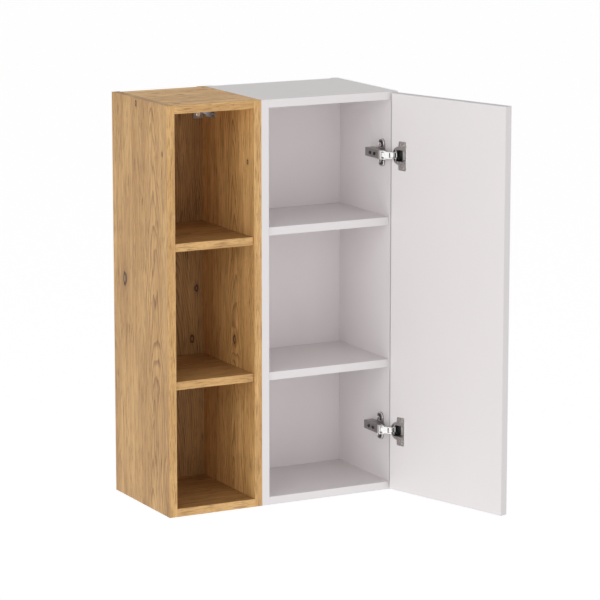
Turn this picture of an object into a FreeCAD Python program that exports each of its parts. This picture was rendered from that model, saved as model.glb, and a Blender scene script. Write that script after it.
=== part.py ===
"""Hanging wall cabinet: an open oak column beside a white module with one hinged door.

X runs to the right seen from the front, Y runs into the wall and Z is up.
The origin is the hanging line: the middle of the width, on the wall plane, at the
height where the wall screws carry the keyholes of the hanger brackets.
The door is drawn closed and then swung to its open rest position.
"""
import FreeCAD
import Part
import Sketcher
import math
import os
import re

from FreeCAD import Placement, Rotation, Vector

SIZES = {
    # carcass
    "oak_width": 200, "white_width": 300, "cabinet_height": 800, "cabinet_depth": 250,
    "board": 16, "band": 0.8, "band_round": 0.4, "hanging_drop": 45, "top_recess": 7,
    "oak_back_inset": 22, "white_back_inset": 40, "back_sheet": 3,
    "groove_deep": 6, "groove_play": 0.2,
    # shelves, measured from the underside of the cabinet to the underside of the shelf
    "oak_upper_shelf": 519, "oak_lower_shelf": 250,
    "white_upper_shelf": 535, "white_lower_shelf": 249,
    "shelf_setback": 4, "shelf_play": 0.5,
    # shelf pins
    "pin_inset": 37, "pin_radius": 3, "pin_reach": 8, "pin_shank": 2.4, "pin_sunk": 9,
    # knock-down fittings between the boards
    "cam_radius": 7.5, "cam_deep": 12.5, "cam_setback": 24, "cam_front": 50, "cam_rear": 70,
    "cam_slot": 1.7, "cam_slot_long": 7.5, "cam_slot_deep": 2.5, "cam_grip": 2.5,
    "cam_bolt_radius": 3, "cam_bolt_neck": 2.4, "cam_bolt_sunk": 11, "dowel_radius": 4, "dowel_long": 30,
    "dowel_sunk": 11, "dowel_middle": 125, "bore_play": 0.1,
    # sleeve screws that join the two modules
    "join_inset": 37, "join_drop": 38, "join_radius": 2.4, "join_recess": 4,
    "join_head_radius": 5, "join_head": 1.2,
    # hanger brackets
    "bracket_steel": 2, "bracket_flange": 20, "bracket_reach": 57, "bracket_reach_behind": 33,
    "bracket_clear": 2, "bracket_drop": 15, "bracket_side_drop": 9, "bracket_relief": 4,
    "bracket_wall_gap": 3, "keyhole_slot": 2.8, "keyhole_eye": 4, "keyhole_fall": 7.5,
    "bracket_screw": 2, "bracket_screw_head": 4, "bracket_screw_long": 13,
    "bracket_screw_inset": 10, "bracket_screw_margin": 8,
    # door
    "door_thick": 16, "door_gap": 2.5, "hinge_reveal": 1.5, "latch_reveal": 1.5,
    "door_trim": 2, "door_round": 0.76, "open_angle": 107, "open_in": 16, "open_out": 4,
    # hinges
    "hinge_inset": 124, "cup_radius": 17.5, "pole_tab": 3.52, "cup_deep": 13, "cup_wall": 0.7,
    "cup_lip": 18.5, "cup_flange": 1, "cup_ear_wide": 21, "cup_ear_tall": 58,
    "cup_ear_round": 5, "cup_screw_offset": 9.5, "cup_screw_pitch": 45, "cup_play": 0.15,
    "hinge_screw": 2, "hinge_screw_head": 3.9, "cup_screw_long": 10,
    "plate_setback": 32, "plate_thick": 3, "plate_wing": 22, "plate_round": 10.5, "plate_tall": 55,
    "plate_pitch": 32, "plate_screw": 3, "plate_screw_head": 4.6, "plate_screw_long": 12,
    "block_high": 12, "block_half": 6.2, "block_front": 14, "block_rear": 20,
    "arm_high": 22.4, "nose_open": 0.5, "arm_half": 8.4, "arm_ear": 3, "arm_screw": 2, "arm_screw_head": 3.4,
    "arm_steel": 1.4, "arm_rear": 62, "arm_play": 0.4,
    "link_pin": 1, "pin_run": 0.05, "open_pin_play": 1.3,
    "outer_half_wide": 1.8, "outer_level": 5.1, "outer_thick": 1.4,
    "web_thick": 0.7, "web_start": -1.4, "web_end": 9.8, "outer_arm_eye": 2.4, "inner_arm_eye": 2.2,
    "inner_cup_eye": 2,
    "inner_half_wide": 1.1, "inner_level": 4.4,
    "outer_in": 31.5, "outer_out": 4, "inner_in": 34.5, "inner_back": 4,
    "outer_cup_arm": 5.6, "inner_cup_arm": 0.8, "outer_slack": 1.2,
    "outer_knee_past": 3.3, "outer_knee_out": 6.5, "inner_knee_past": 2.2, "inner_knee_out": 2.4,
    "eye_wall": 0.5, "stub_pin": 0.8,
    # driver recess of every screw, as shares of the head's radius and height
    "recess_long": 0.55, "recess_wide": 0.12, "recess_floor": 0.4, "recess_past": 1.01,
}

doc = FreeCAD.newDocument("wall_cabinet")
sheet = doc.addObject("Spreadsheet::Sheet", "sizes")
for row, (alias, number) in enumerate(SIZES.items(), start=1):
    sheet.set("A%d" % row, alias)
    sheet.set("B%d" % row, str(number))
    sheet.setAlias("B%d" % row, alias)
doc.recompute()

NAME = re.compile(r"[a-z]\w*")
NODES = []


def size(alias):
    """One number of the sheet."""
    return float(sheet.get(alias))


def bind(thing, prop, formula):
    """Tie a property to a formula of sheet aliases."""
    thing.setExpression(prop, NAME.sub(lambda word: "sizes." + word.group(0), formula))


def place(thing, corner):
    for axis, formula in zip("xyz", corner):
        bind(thing, "Placement.Base." + axis, formula)


def block(name, along_x, along_y, along_z):
    """A box between three pairs of formulas."""
    box = doc.addObject("Part::Box", name)
    for prop, (low, high) in zip(("Length", "Width", "Height"), (along_x, along_y, along_z)):
        bind(box, prop, "(%s) - (%s)" % (high, low))
    place(box, (along_x[0], along_y[0], along_z[0]))
    return box


TURN = {
    "+z": Rotation(),
    "-z": Rotation(Vector(1, 0, 0), 180),
    "+x": Rotation(Vector(0, 1, 0), 90),
    "-x": Rotation(Vector(0, 1, 0), -90),
    "+y": Rotation(Vector(1, 0, 0), -90),
    "-y": Rotation(Vector(1, 0, 0), 90),
}


def rod(name, start, heading, radius, length):
    """A cylinder from a start point along one axis."""
    cylinder = doc.addObject("Part::Cylinder", name)
    bind(cylinder, "Radius", radius)
    bind(cylinder, "Height", length)
    cylinder.Placement.Rotation = TURN[heading]
    place(cylinder, start)
    return cylinder


def fuse(name, pieces):
    if len(pieces) == 1:
        return pieces[0]
    joined = doc.addObject("Part::MultiFuse", name)
    joined.Shapes = pieces
    return joined


def cut(name, base, tools):
    if not tools:
        return base
    result = doc.addObject("Part::Cut", name)
    result.Base = base
    result.Tool = fuse(name + "_tools", tools)
    return result


NEAR = 1e-6


def along(edge, axis):
    """True for an edge that runs along one axis."""
    box = edge.BoundBox
    spans = {"x": box.XLength, "y": box.YLength, "z": box.ZLength}
    return all(span < NEAR for other, span in spans.items() if other != axis)


def on_side(edge, box, side):
    """True for an edge that lies in one outer face of its piece, such as -y."""
    low, high = {
        "x": (edge.BoundBox.XMin - box.XMin, box.XMax - edge.BoundBox.XMax),
        "y": (edge.BoundBox.YMin - box.YMin, box.YMax - edge.BoundBox.YMax),
        "z": (edge.BoundBox.ZMin - box.ZMin, box.ZMax - edge.BoundBox.ZMax),
    }[side[1]]
    flat = {"x": edge.BoundBox.XLength, "y": edge.BoundBox.YLength, "z": edge.BoundBox.ZLength}[side[1]]
    return flat < NEAR and abs(low if side[0] == "-" else high) < NEAR


def rounded(name, base, radius, axis=None, side=None):
    """Round the edges of a piece that run along an axis, or lie in a side, or both."""
    doc.recompute()
    box = base.Shape.BoundBox
    fillet = doc.addObject("Part::Fillet", name)
    fillet.Base = base
    fillet.Edges = [
        (number, radius, radius)
        for number, edge in enumerate(base.Shape.Edges, start=1)
        if (axis is None or along(edge, axis)) and (side is None or on_side(edge, box, side))
    ]
    return fillet


def through(name, spot, heading, radius, thick):
    """A bore tool for a skin whose near face holds spot: it starts ahead of it and ends past it."""
    back = "-" if heading[0] == "+" else "+"
    turned_back = [
        "(%s) %s (%s)" % (formula, back, thick) if axis == heading[1] else formula
        for axis, formula in zip("xyz", spot)
    ]
    return rod(name, turned_back, heading, radius, "(%s) * 3" % thick)


def group(name, pieces):
    """Separate solids that share one node."""
    if len(pieces) == 1:
        return pieces[0]
    compound = doc.addObject("Part::Compound", name)
    compound.Links = pieces
    return compound


def node(label, thing, placement=None):
    """Give a finished sub-part its name, and its place where it isn't built in place."""
    thing.Label = label
    if placement is not None:
        thing.Placement = placement
    NODES.append(thing)
    return thing


# ---------------------------------------------------------------- common formulas

LEFT = "-(oak_width + white_width) / 2"
RIGHT = "(oak_width + white_width) / 2"
SEAM = "(oak_width - white_width) / 2"
WALL = "0"
HANGING_LINE = "0"
TOP = "hanging_drop"
BOTTOM = "hanging_drop - cabinet_height"
FRONT = "-cabinet_depth"
BOARD_FRONT = "band - cabinet_depth"

MODULES = {
    "oak": {
        "left": LEFT, "right": SEAM, "inset": "oak_back_inset",
        "shelves": {"upper": "oak_upper_shelf", "lower": "oak_lower_shelf"},
    },
    "white": {
        "left": SEAM, "right": RIGHT, "inset": "white_back_inset",
        "shelves": {"upper": "white_upper_shelf", "lower": "white_lower_shelf"},
    },
}


def plus(*terms):
    return " + ".join("(%s)" % term for term in terms)


def minus(first, second):
    return "(%s) - (%s)" % (first, second)


def shelf_level(rise):
    """Underside of a shelf in the frame of the hanging line."""
    return plus(BOTTOM, rise)


def pin_rows(module):
    """Front and rear distance lines of the shelf pins."""
    return {
        "front": plus(FRONT, "pin_inset"),
        "rear": "-(%s) - back_sheet - pin_inset" % module["inset"],
    }


CAM_ROWS = {"front": plus(FRONT, "cam_front"), "rear": "-cam_rear"}
DOWEL_ROW = plus(FRONT, "dowel_middle")


def join_levels():
    """Heights of the two sleeve screws: a little under each shelf of the oak column."""
    return {
        key: minus(shelf_level(rise), "join_drop")
        for key, rise in MODULES["oak"]["shelves"].items()
    }


BRACKET_TOP = "hanging_drop - board - bracket_clear"


def bracket_screw_spots(kind):
    """Distance and height lines of the two screws of a hanger bracket."""
    if kind == "oak":
        reach = minus("-oak_back_inset - back_sheet", "bracket_reach - bracket_screw_inset")
    else:
        reach = minus("-bracket_wall_gap", "bracket_reach_behind - bracket_screw_inset")
    return [(reach, minus(BRACKET_TOP, "bracket_screw_margin")),
            (reach, "-bracket_side_drop + bracket_screw_margin")]


# ---------------------------------------------------------------- boards


def back_groove(name, module, along_x, along_z):
    """Room for the back sheet, with its play on both faces."""
    inset = module["inset"]
    rear = "-(%s) + groove_play" % inset
    front = "-(%s) - back_sheet - groove_play" % inset
    return block(name, along_x, (front, rear), along_z)


def side_board(kind, hand):
    """An upright: left when hand is -1, right when hand is +1."""
    module = MODULES[kind]
    word = "left" if hand < 0 else "right"
    outer = module[word]
    inner = minus(outer, "board * %d" % hand)
    low, high = (outer, inner) if hand < 0 else (inner, outer)
    name = "%s_%s_side" % (kind, word)
    board = block(name + "_board", (low, high), (BOARD_FRONT, WALL), (BOTTOM, TOP))
    into = "-x" if hand < 0 else "+x"
    reach = minus(inner, "groove_deep * %d" % -hand)
    groove_x = (reach, inner) if hand < 0 else (inner, reach)
    tools = [back_groove(name + "_groove", module, groove_x, (BOTTOM, TOP))]
    for level_word, level in (("top", "hanging_drop - board / 2"), ("bottom", plus(BOTTOM, "board / 2"))):
        for row_word, row in CAM_ROWS.items():
            tools.append(rod(
                "_".join((name, level_word, row_word, "bolt_bore")), (inner, row, level), into,
                "cam_bolt_radius + bore_play", "cam_bolt_sunk + bore_play"))
        tools.append(rod(
            "_".join((name, level_word, "dowel_bore")), (inner, DOWEL_ROW, level), into,
            "dowel_radius + bore_play", "dowel_sunk + bore_play"))
    for shelf_word, rise in module["shelves"].items():
        for row_word, row in pin_rows(module).items():
            tools.append(rod(
                "_".join((name, shelf_word, row_word, "pin_bore")),
                (inner, row, minus(shelf_level(rise), "pin_radius")), into,
                "pin_shank + bore_play", "pin_sunk + bore_play"))
    for number, (row, level) in enumerate(bracket_screw_spots(kind)):
        tools.append(rod(
            "%s_bracket_bore_%d" % (name, number), (inner, row, level), into,
            "bracket_screw + bore_play", "bracket_screw_long + bore_play"))
    if (kind, hand) in (("oak", 1), ("white", -1)):
        for key, level in join_levels().items():
            tools.append(rod(
                "_".join((name, key, "join_bore")),
                (inner, plus(FRONT, "join_inset"), level), into,
                "join_radius + bore_play", "board"))
    if (kind, hand) == ("white", 1):
        for hinge_word, level in HINGE_LEVELS.items():
            for sign in (-1, 1):
                tools.append(rod(
                    "%s_%s_plate_bore_%d" % (name, hinge_word, sign),
                    (inner, plus(FRONT, "plate_setback"), plus(level, "plate_pitch / 2 * %d" % sign)),
                    into, "plate_screw + bore_play", "plate_screw_long + bore_play"))
    node(name, cut(name, board, tools))


def level_board(kind, word):
    """The top or the bottom, between the two sides."""
    module = MODULES[kind]
    left = plus(module["left"], "board")
    right = minus(module["right"], "board")
    if word == "top":
        low, high = minus(TOP, "board"), TOP
        groove_z = (low, plus(low, "groove_deep"))
    else:
        low, high = BOTTOM, plus(BOTTOM, "board")
        groove_z = (minus(high, "groove_deep"), high)
    name = "%s_%s" % (kind, word)
    board = block(name + "_board", (left, right), (BOARD_FRONT, "-top_recess"), (low, high))
    tools = [back_groove(name + "_groove", module, (left, right), groove_z)]
    middle = plus(low, "board / 2")
    for hand, end, into in ((-1, left, "+x"), (1, right, "-x")):
        for row_word, row in CAM_ROWS.items():
            stem = "_".join((name, "l" if hand < 0 else "r", row_word))
            tools.append(rod(stem + "_bolt_bore", (end, row, middle), into,
                             "cam_bolt_radius + bore_play", "cam_setback"))
            tools.append(rod(stem + "_cam_bore", (minus(end, "cam_setback * %d" % hand), row, low),
                             "+z", "cam_radius + bore_play", "cam_deep + bore_play"))
        tools.append(rod(name + ("_l" if hand < 0 else "_r") + "_dowel_bore", (end, DOWEL_ROW, middle),
                         into, "dowel_radius + bore_play", "dowel_long - dowel_sunk + bore_play"))
    node(name, cut(name, board, tools))


def shelf_board(kind, word):
    module = MODULES[kind]
    low = shelf_level(module["shelves"][word])
    node("%s_%s_shelf" % (kind, word), block(
        "%s_%s_shelf" % (kind, word),
        (plus(module["left"], "board + shelf_play"), minus(module["right"], "board + shelf_play")),
        (plus(BOARD_FRONT, "shelf_setback"), "-(%s) - back_sheet - shelf_play" % module["inset"]),
        (low, plus(low, "board"))))


def back_sheet(kind):
    """The thin back, held in the grooves of all four boards around it."""
    module = MODULES[kind]
    name = kind + "_back_panel"
    held = "groove_deep - groove_play * 2"
    sheet_left = minus(plus(module["left"], "board"), held)
    sheet_right = plus(minus(module["right"], "board"), held)
    front, rear = "-(%s) - back_sheet" % module["inset"], "-(%s)" % module["inset"]
    panel = block(name + "_sheet", (sheet_left, sheet_right), (front, rear),
                  (minus(plus(BOTTOM, "board"), held), plus(minus(TOP, "board"), held)))
    tools = []
    if kind == "oak":
        for hand, line in keyhole_lines(module):
            tools.append(block(
                name + ("_window_l" if hand < 0 else "_window_r"),
                (minus(line, "keyhole_eye"), plus(line, "keyhole_eye")),
                (minus(front, "back_sheet"), plus(rear, "back_sheet")),
                ("-keyhole_fall - keyhole_eye", "keyhole_slot")))
    node(name, cut(name, panel, tools))


def front_band(name, along_x, along_z, front=FRONT):
    """One strip of edge band with its outer edges eased."""
    strip = block(name + "_strip", along_x, (front, plus(front, "band")), along_z)
    return rounded(name, strip, size("band_round"), side="-y")


def front_bands(kind):
    module = MODULES[kind]
    left, right = module["left"], module["right"]
    inner = (plus(left, "board"), minus(right, "board"))
    shelf = (plus(left, "board + shelf_play"), minus(right, "board + shelf_play"))
    strips = [
        front_band(kind + "_band_left", (left, inner[0]), (BOTTOM, TOP)),
        front_band(kind + "_band_right", (inner[1], right), (BOTTOM, TOP)),
        front_band(kind + "_band_top", inner, (minus(TOP, "board"), TOP)),
        front_band(kind + "_band_bottom", inner, (BOTTOM, plus(BOTTOM, "board"))),
    ]
    for word, rise in module["shelves"].items():
        low = shelf_level(rise)
        strips.append(front_band("%s_band_%s" % (kind, word), shelf, (low, plus(low, "board")),
                                 plus(FRONT, "shelf_setback")))
    node(kind + "_front_edges", group(kind + "_front_edges", strips))


# ---------------------------------------------------------------- fittings of the carcass


def module_ends(kind):
    """Both inner faces of a module: hand, face line and the heading into the side."""
    module = MODULES[kind]
    return [
        (-1, plus(module["left"], "board"), "-x", "+x"),
        (1, minus(module["right"], "board"), "+x", "-x"),
    ]


def keyhole_lines(module):
    left = plus(module["left"], "board + bracket_flange / 2")
    right = minus(module["right"], "board + bracket_flange / 2")
    return [(-1, left), (1, right)]


def knock_down_fittings(kind):
    """Cams under the top and the bottom, their bolts, and one dowel at each joint."""
    cams, bolts, dowels = [], [], []
    for level_word, low in (("top", minus(TOP, "board")), ("bottom", BOTTOM)):
        middle = plus(low, "board / 2")
        for hand, face, into, out in module_ends(kind):
            stem = "_".join((kind, level_word, "l" if hand < 0 else "r"))
            cam_line = minus(face, "cam_setback * %d" % hand)
            for row_word, row in CAM_ROWS.items():
                drum = rod(stem + row_word + "_drum", (cam_line, row, plus(low, "bore_play")), "+z",
                           "cam_radius", "cam_deep - bore_play")
                pocket = rod(stem + row_word + "_pocket", (face, row, middle), out,
                             "cam_bolt_radius + bore_play", "cam_setback + cam_grip")
                cross = block(stem + row_word + "_cross",
                              (minus(cam_line, "cam_slot_long / 2"), plus(cam_line, "cam_slot_long / 2")),
                              (minus(row, "cam_slot / 2"), plus(row, "cam_slot / 2")),
                              (low, plus(low, "cam_slot_deep")))
                cams.append(cut(stem + row_word + "_cam", drum, [pocket, cross]))
                bolts.append(fuse(stem + row_word + "_bolt", [
                    rod(stem + row_word + "_thread", (face, row, middle), into,
                        "cam_bolt_radius", "cam_bolt_sunk"),
                    rod(stem + row_word + "_shank", (face, row, middle), out,
                        "cam_bolt_neck", "cam_setback"),
                ]))
            start = plus(face, "dowel_sunk * %d" % hand)
            dowels.append(rod(stem + "_dowel", (start, DOWEL_ROW, middle), out,
                              "dowel_radius", "dowel_long"))
    node(kind + "_cams", group(kind + "_cams", cams))
    node(kind + "_cam_bolts", group(kind + "_cam_bolts", bolts))
    node(kind + "_dowels", group(kind + "_dowels", dowels))


def shelf_pins(kind):
    pins = []
    module = MODULES[kind]
    for word, rise in module["shelves"].items():
        level = minus(shelf_level(rise), "pin_radius")
        for row_word, row in pin_rows(module).items():
            for hand, face, into, out in module_ends(kind):
                stem = "_".join((kind, word, row_word, "l" if hand < 0 else "r", "pin"))
                pins.append(fuse(stem, [
                    rod(stem + "_shank", (face, row, level), into, "pin_shank", "pin_sunk"),
                    rod(stem + "_rest", (face, row, level), out, "pin_radius", "pin_reach"),
                ]))
    node(kind + "_shelf_pins", group(kind + "_shelf_pins", pins))


def joining_screws():
    """Sleeve screws put in from the white side; their ends stay short of the oak face."""
    face = plus(SEAM, "board")
    screws = []
    for key, level in join_levels().items():
        row = plus(FRONT, "join_inset")
        screws.append(fuse("join_" + key, [
            rod("join_sleeve_" + key, (face, row, level), "-x", "join_radius", "board * 2 - join_recess"),
            rod("join_head_" + key, (face, row, level), "+x", "join_head_radius", "join_head"),
        ]))
    node("module_joining_screws", group("module_joining_screws", screws))


def hanger_brackets(kind):
    """Folded steel corners with a keyhole: one flange on the side, one facing the wall."""
    module = MODULES[kind]
    rear = "-oak_back_inset - back_sheet" if kind == "oak" else "-bracket_wall_gap"
    reach = "bracket_reach" if kind == "oak" else "bracket_reach_behind"
    folded = minus(rear, "bracket_steel")
    brackets, screws = [], []
    lines = dict(keyhole_lines(module))
    for hand, face, into, out in module_ends(kind):
        stem = kind + ("_bracket_l" if hand < 0 else "_bracket_r")
        flange_end = minus(face, "bracket_flange * %d" % hand)
        steel_end = minus(face, "bracket_steel * %d" % hand)
        span = (face, flange_end) if hand < 0 else (flange_end, face)
        skin = (face, steel_end) if hand < 0 else (steel_end, face)
        facing = block(stem + "_facing", span, (folded, rear), ("-bracket_drop", BRACKET_TOP))
        cheek = block(stem + "_cheek", skin, (minus(rear, reach), rear),
                      ("-bracket_side_drop", BRACKET_TOP))
        relief = block(stem + "_relief", skin, (minus(rear, "bracket_flange"), folded),
                       ("-bracket_side_drop", "-bracket_side_drop + bracket_relief"))
        line = lines[hand]
        tools = [
            relief,
            through(stem + "_eye", (line, folded, "-keyhole_fall"), "+y", "keyhole_eye", "bracket_steel"),
            through(stem + "_seat", (line, folded, HANGING_LINE), "+y", "keyhole_slot", "bracket_steel"),
            block(stem + "_slot", (minus(line, "keyhole_slot"), plus(line, "keyhole_slot")),
                  (minus(folded, "bracket_steel"), plus(rear, "bracket_steel")),
                  ("-keyhole_fall", HANGING_LINE)),
        ]
        for number, (row, level) in enumerate(bracket_screw_spots(kind)):
            tools.append(rod("%s_hole_%d" % (stem, number), (face, row, level), out,
                             "bracket_screw + bore_play", "bracket_steel * 2"))
            screws.append(fuse("%s_screw_%d" % (stem, number), [
                rod("%s_shank_%d" % (stem, number), (steel_end, row, level), into,
                    "bracket_screw", "bracket_screw_long + bracket_steel"),
                rod("%s_head_%d" % (stem, number), (steel_end, row, level), out,
                    "bracket_screw_head", "bracket_screw"),
            ]))
        brackets.append(cut(stem, fuse(stem + "_folded", [facing, cheek]), tools))
    node(kind + "_hanger_brackets", group(kind + "_hanger_brackets", brackets))
    node(kind + "_bracket_screws", group(kind + "_bracket_screws", screws))


# ---------------------------------------------------------------- door

HINGE_LEVELS = {
    "upper": "hanging_drop - hinge_inset",
    "lower": plus(BOTTOM, "hinge_inset"),
}
DOOR_RIGHT = minus(RIGHT, "hinge_reveal")
DOOR_LEFT = plus(SEAM, "latch_reveal")
DOOR_INNER = "-cabinet_depth - door_gap"
DOOR_OUTER = "-cabinet_depth - door_gap - door_thick"
DOOR_TOP = "hanging_drop - door_trim"
DOOR_BOTTOM = plus(BOTTOM, "door_trim")


def turned(vector, degrees):
    return Rotation(Vector(0, 0, 1), degrees).multVec(vector)


def door_corner():
    """The hinge-side inner corner of the closed door."""
    return Vector((size("oak_width") + size("white_width")) / 2 - size("hinge_reveal"),
                  -size("cabinet_depth") - size("door_gap"), 0)


def swing_pole():
    """The upright line about which the door turns from closed to open.

    The hinge-side inner corner of the closed door moves in by open_in and out by
    open_out while the door turns by open_angle, and that fixes the line. The cup is
    bored pole_tab away from it, so the pivots stay clear of the cup's rim.
    """
    shift = Vector(-size("open_in"), -size("open_out"), 0)
    lean = 0.5 / math.tan(math.radians(size("open_angle") / 2))
    return door_corner() + shift * 0.5 + turned(shift, 90) * lean


POLE = swing_pole()
OPEN_TURN = size("open_angle")
SWING = Placement(POLE - turned(POLE, OPEN_TURN), Rotation(Vector(0, 0, 1), OPEN_TURN))
CUP_TAB = door_corner().x - POLE.x - size("pole_tab")
CUP_LINE = minus(DOOR_RIGHT, "cup_radius + %.5f" % CUP_TAB)
EAR_LINE = minus(CUP_LINE, "cup_screw_offset")


def door_panel():
    inner_left, inner_right = plus(DOOR_LEFT, "band"), minus(DOOR_RIGHT, "band")
    panel = block("door_board", (inner_left, inner_right), (DOOR_OUTER, DOOR_INNER),
                  (plus(DOOR_BOTTOM, "band"), minus(DOOR_TOP, "band")))
    tools = []
    for word, level in HINGE_LEVELS.items():
        tools.append(rod("door_cup_bore_" + word, (CUP_LINE, DOOR_INNER, level), "-y",
                         "cup_radius + cup_play", "cup_deep + cup_play"))
        for sign in (-1, 1):
            tools.append(rod("door_screw_bore_%s_%d" % (word, sign),
                             (EAR_LINE, DOOR_INNER, plus(level, "cup_screw_pitch / 2 * %d" % sign)),
                             "-y", "hinge_screw + bore_play", "cup_screw_long + bore_play"))
    node("door_panel", cut("door_panel", panel, tools), SWING)


def door_bands():
    """Four strips round the door with eased outer edges."""
    full_z = (DOOR_BOTTOM, DOOR_TOP)
    between = (plus(DOOR_LEFT, "band"), minus(DOOR_RIGHT, "band"))
    deep = (DOOR_OUTER, DOOR_INNER)
    plans = {
        "latch": ((DOOR_LEFT, between[0]), full_z, None, "-x"),
        "hinge": ((between[1], DOOR_RIGHT), full_z, None, "+x"),
        "top": (between, (minus(DOOR_TOP, "band"), DOOR_TOP), "x", "+z"),
        "bottom": (between, (DOOR_BOTTOM, plus(DOOR_BOTTOM, "band")), "x", "-z"),
    }
    strips = []
    for word, (along_x, along_z, axis, side) in plans.items():
        strip = block("door_strip_" + word, along_x, deep, along_z)
        strips.append(rounded("door_band_" + word, strip, size("door_round"), axis, side))
    node("door_edge_bands", group("door_edge_bands", strips), SWING)


# ---------------------------------------------------------------- hinges


def hinge_pivots():
    """Plan positions of the four link pivots, with the door open.

    Each arm pivot lies on the line through the pole that halves the swing of its cup
    pivot, so both links keep their length at the open and at the closed position.
    """
    side = (size("oak_width") + size("white_width")) / 2
    front = -size("cabinet_depth")
    outer_arm = Vector(side - size("outer_in"), front - size("outer_out"), 0)
    inner_arm = Vector(side - size("inner_in"), front + size("inner_back"), 0)
    pivots = {"outer_arm": outer_arm, "inner_arm": inner_arm}
    for word, arm, reach in (("outer", outer_arm, size("outer_cup_arm")),
                             ("inner", inner_arm, size("inner_cup_arm"))):
        toward = (arm - POLE).normalize()
        pivots[word + "_cup"] = POLE + turned(toward, OPEN_TURN / 2) * reach
    back = (outer_arm - pivots["outer_cup"]).normalize()
    pivots["outer_eye"] = pivots["outer_cup"] + back * size("outer_slack")
    return pivots


PIVOTS = hinge_pivots()


def mounting_plate(word, level):
    """Cross-shaped plate screwed to the side, with the block that carries the arm."""
    stem = word + "_hinge_plate"
    face = minus(RIGHT, "board")
    row = plus(FRONT, "plate_setback")
    skin = (minus(face, "plate_thick"), face)
    wings = block(stem + "_wings", skin, (minus(row, "plate_wing / 2"), plus(row, "plate_wing / 2")),
                  (minus(level, "plate_tall / 2"), plus(level, "plate_tall / 2")))
    wings = rounded(stem + "_wings_round", wings, size("plate_round"), axis="x")
    rise = block(stem + "_block", (minus(skin[0], "block_high"), face),
                 (minus(row, "block_front"), plus(row, "block_rear")),
                 (minus(level, "block_half"), plus(level, "block_half")))
    tools = [
        through("%s_hole_%d" % (stem, sign), (skin[0], row, plus(level, "plate_pitch / 2 * %d" % sign)), "+x",
                "plate_screw + bore_play", "plate_thick")
        for sign in (-1, 1)
    ]
    tools.append(rod(stem + "_tap", (minus(skin[0], "block_high"), arm_screw_rows()["fixing"], level),
                     "+x", "arm_screw + bore_play", "block_high"))
    node(word + "_hinge_plate", cut(stem, fuse(stem + "_body", [wings, rise]), tools))
    screws = []
    for sign in (-1, 1):
        spot = (skin[0], row, plus(level, "plate_pitch / 2 * %d" % sign))
        key = "%s_screw_%d" % (stem, sign)
        screw = fuse(key + "_body", [
            rod(key + "_shank", spot, "+x", "plate_screw", "plate_screw_long"),
            rod(key + "_head", spot, "-x", "plate_screw_head", "plate_thick"),
        ])
        notch = cross_slot(key, spot, "-x", "plate_thick", "plate_screw_head")
        screws.append(cut(key, screw, notch))
    node(word + "_hinge_plate_screws", group(word + "_hinge_plate_screws", screws))


def cross_slot(name, spot, heading, head_high, head_radius):
    """Driver recess of a screw whose head grows from spot along heading."""
    start_x, start_y, start_z = spot
    half, thin = "(%s) * recess_long" % head_radius, "(%s) * recess_wide" % head_radius
    floor, past = "(%s) * recess_floor" % head_high, "(%s) * recess_past" % head_high
    strokes = []
    for number, (wide, tall) in enumerate(((half, thin), (thin, half))):
        upright_span = (minus(start_z, tall), plus(start_z, tall))
        if heading == "-x":
            spans = ((minus(start_x, past), minus(start_x, floor)),
                     (minus(start_y, wide), plus(start_y, wide)))
        else:
            spans = ((minus(start_x, wide), plus(start_x, wide)), (plus(start_y, floor), plus(start_y, past)))
        strokes.append(block("%s_slot_%d" % (name, number), spans[0], spans[1], upright_span))
    return strokes


def plan_sketch(body, name, outline):
    """A closed outline of straight lines on the body's own level plane."""
    sketch = body.newObject("Sketcher::SketchObject", name)
    plane = next(item for item in body.Origin.OriginFeatures if item.Role == "XY_Plane")
    sketch.AttachmentSupport = [(plane, "")]
    sketch.MapMode = "FlatFace"
    count = len(outline)
    for number, point in enumerate(outline):
        sketch.addGeometry(Part.LineSegment(point, outline[(number + 1) % count]), False)
    for number in range(count):
        sketch.addConstraint(Sketcher.Constraint("Coincident", number, 2, (number + 1) % count, 1))
    return sketch


def rectangle(low_x, high_x, low_y, high_y):
    corners = ((low_x, low_y), (high_x, low_y), (high_x, high_y), (low_x, high_y))
    return [Vector(x, y, 0) for x, y in corners]


def middle_pad(body, name, outline, formula):
    """A pad to both sides of the level plane."""
    pad = body.newObject("PartDesign::Pad", name)
    pad.Profile = plan_sketch(body, name + "_sketch", outline)
    pad.Midplane = True
    bind(pad, "Length", formula)


def middle_pocket(body, name, outline, formula):
    """A pocket to both sides of the level plane, which has to take material away."""
    doc.recompute()
    before = body.Shape.Volume
    pocket = body.newObject("PartDesign::Pocket", name)
    pocket.Profile = plan_sketch(body, name + "_sketch", outline)
    pocket.Midplane = True
    bind(pocket, "Length", formula)
    doc.recompute()
    if body.Shape.Volume >= before:
        raise RuntimeError(name + " cuts nothing")


def arm_outline():
    """Side view of the arm's channel: a long back, a foot over the block and a nose round the pins."""
    face = (size("oak_width") + size("white_width")) / 2 - size("board")
    front = -size("cabinet_depth")
    crown = face - size("arm_high")
    foot = face - size("plate_thick") - size("arm_play")
    rear = front + size("arm_rear")
    ear = size("arm_ear")
    outer, inner = PIVOTS["outer_arm"], PIVOTS["inner_arm"]
    throat = outer.x + ear
    return [
        Vector(crown, rear, 0), Vector(foot, rear, 0), Vector(foot, front + size("block_rear"), 0),
        Vector(throat, inner.y + ear, 0), Vector(throat, outer.y, 0), Vector(outer.x, outer.y - ear, 0),
        Vector(outer.x - ear, outer.y, 0), Vector(crown, inner.y - ear, 0),
    ]


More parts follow.
